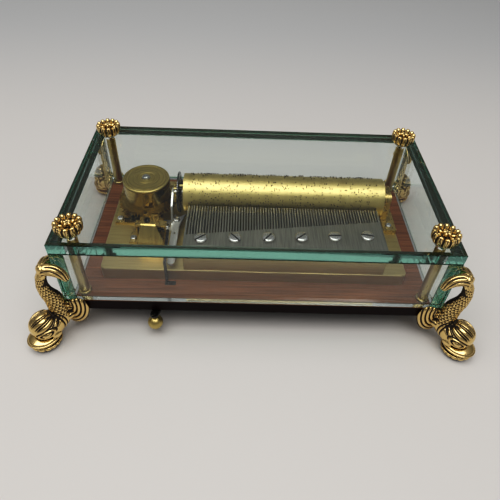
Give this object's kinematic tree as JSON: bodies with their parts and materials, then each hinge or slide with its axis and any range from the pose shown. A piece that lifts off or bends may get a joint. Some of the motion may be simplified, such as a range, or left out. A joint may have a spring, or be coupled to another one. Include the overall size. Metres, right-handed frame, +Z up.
{
  "type": "wind-up music box",
  "caption": "Cylinder music box movement in a glass case with a wooden base, gilt dolphin feet, flower nuts, winding key and a start and stop knob.",
  "frame": {"origin": "middle of the case on the surface that the feet stand on", "axes": "+X along the case towards the treble end of the comb, +Y to the back, +Z up"},
  "size_m": [0.2518, 0.1558, 0.0737],
  "materials": {
    "wood": "open-grained mahogany, dark lacquered edge",
    "clear_glass": "clear float glass with a green edge",
    "post_brass": "satin turned brass",
    "antique_gilt": "antiqued gilt casting with dark recesses",
    "brushed_brass": "fine straight-brushed brass",
    "polished_brass": "polished brass",
    "comb_steel": "matte ground hardened steel",
    "lead": "dull lead",
    "bright_steel": "polished steel",
    "nickel": "satin nickel plate",
    "dark_steel": "blued steel"
  },
  "bodies": {
    "root": {"base_board": "wood", "front_pane": "clear_glass", "back_pane": "clear_glass", "left_pane": "clear_glass", "right_pane": "clear_glass", "top_pane": "clear_glass", "post_front_left": "post_brass", "post_front_right": "post_brass", "post_back_left": "post_brass", "post_back_right": "post_brass", "rosette_front_left": "antique_gilt", "rosette_front_right": "antique_gilt", "rosette_back_left": "antique_gilt", "rosette_back_right": "antique_gilt", "dolphin_foot_front_left": "antique_gilt", "dolphin_foot_front_right": "antique_gilt", "dolphin_foot_back_left": "antique_gilt", "dolphin_foot_back_right": "antique_gilt", "bedplate": "brushed_brass", "comb_platform": "brushed_brass", "barrel_bridge": "brushed_brass", "governor_frame": "brushed_brass", "governor_cock": "brushed_brass", "governor_cover": "brushed_brass", "comb": "comb_steel", "comb_dampers": "comb_steel", "comb_weights": "lead", "comb_screws": "bright_steel", "bracket_screws": "bright_steel", "bedplate_screws": "bright_steel", "foot_screws": "bright_steel", "pivot_screws": "bright_steel", "rosette_washers": "bright_steel", "left_bearing": "nickel", "right_bearing": "dark_steel", "click_spring": "dark_steel", "cover_screw": "dark_steel"},
    "barrel": {"barrel_drum": "polished_brass", "barrel_lid": "polished_brass", "mainspring": "dark_steel"},
    "winding": {"barrel_arbor": "bright_steel", "arbor_screw": "bright_steel", "ratchet_wheel": "bright_steel", "winding_key": "polished_brass"},
    "click": {"click": "dark_steel"},
    "cylinder_drive": {"cylinder_arbor": "bright_steel", "great_wheel": "polished_brass"},
    "cylinder": {"cylinder_tube": "polished_brass", "cylinder_left_cap": "polished_brass", "cylinder_right_cap": "polished_brass", "cylinder_pins": "bright_steel", "shift_spring": "dark_steel"},
    "tune_wheel": {"tune_wheel": "bright_steel"},
    "governor_first": {"governor_first_wheel": "polished_brass"},
    "governor_second": {"governor_second_wheel": "polished_brass"},
    "air_brake": {"endless_screw": "bright_steel"},
    "change_lever": {"change_lever": "nickel"},
    "stop_lever": {"stop_lever": "bright_steel", "stop_knob": "polished_brass"}
  },
  "joints": [
    {"name": "barrel_spin", "type": "hinge", "parent": "root", "child": "barrel", "pos_m": [-0.0665, 0.0095, 0.0402], "axis": [0, 0, 1], "continuous": true},
    {"name": "cylinder_spin", "type": "hinge", "parent": "root", "child": "cylinder_drive", "pos_m": [0, 0.0095, 0.046], "axis": [1, 0, 0], "continuous": true},
    {"name": "tune_shift", "type": "slide", "parent": "cylinder_drive", "child": "cylinder", "axis": [1, 0, 0], "range_m": [0, 0.0008], "stiffness_N_per_m": 400, "springref_m": -0.003},
    {"name": "tune_wheel_turn", "type": "hinge", "parent": "cylinder_drive", "child": "tune_wheel", "pos_m": [-0.047, 0.0095, 0.046], "axis": [1, 0, 0], "continuous": true},
    {"name": "winding_turn", "type": "hinge", "parent": "root", "child": "winding", "pos_m": [-0.0665, 0.0095, 0.03], "axis": [0, 0, 1], "continuous": true},
    {"name": "click_pivot", "type": "hinge", "parent": "root", "child": "click", "pos_m": [-0.0755, 0.0002, 0.035], "axis": [0, 0, 1], "range_deg": [-9, 0], "stiffness_Nm_per_rad": 0.0005, "springref_deg": 20.05},
    {"name": "governor_first_spin", "type": "hinge", "parent": "root", "child": "governor_first", "pos_m": [-0.06533, -0.01062, 0.038], "axis": [0, 0, 1], "continuous": true},
    {"name": "governor_second_spin", "type": "hinge", "parent": "root", "child": "governor_second", "pos_m": [-0.05888, -0.01141, 0.038], "axis": [0, 0, 1], "continuous": true},
    {"name": "air_brake_spin", "type": "hinge", "parent": "root", "child": "air_brake", "pos_m": [-0.05888, -0.01721, 0.039], "axis": [1, 0, 0], "continuous": true},
    {"name": "change_lever_pivot", "type": "hinge", "parent": "root", "child": "change_lever", "pos_m": [-0.0479, -0.0065, 0.0366], "axis": [0, 0, 1], "range_deg": [0, 4]},
    {"name": "stop_lever_pivot", "type": "hinge", "parent": "root", "child": "stop_lever", "pos_m": [-0.0485, -0.014, 0.0158], "axis": [0, 0, 1], "range_deg": [0, 8]}
  ],
  "couplings": [
    {"joint": "cylinder_spin", "follows": "barrel_spin", "ratio": 3.1765},
    {"joint": "governor_first_spin", "follows": "barrel_spin", "ratio": -6},
    {"joint": "governor_second_spin", "follows": "barrel_spin", "ratio": 24},
    {"joint": "air_brake_spin", "follows": "barrel_spin", "ratio": 624}
  ]
}
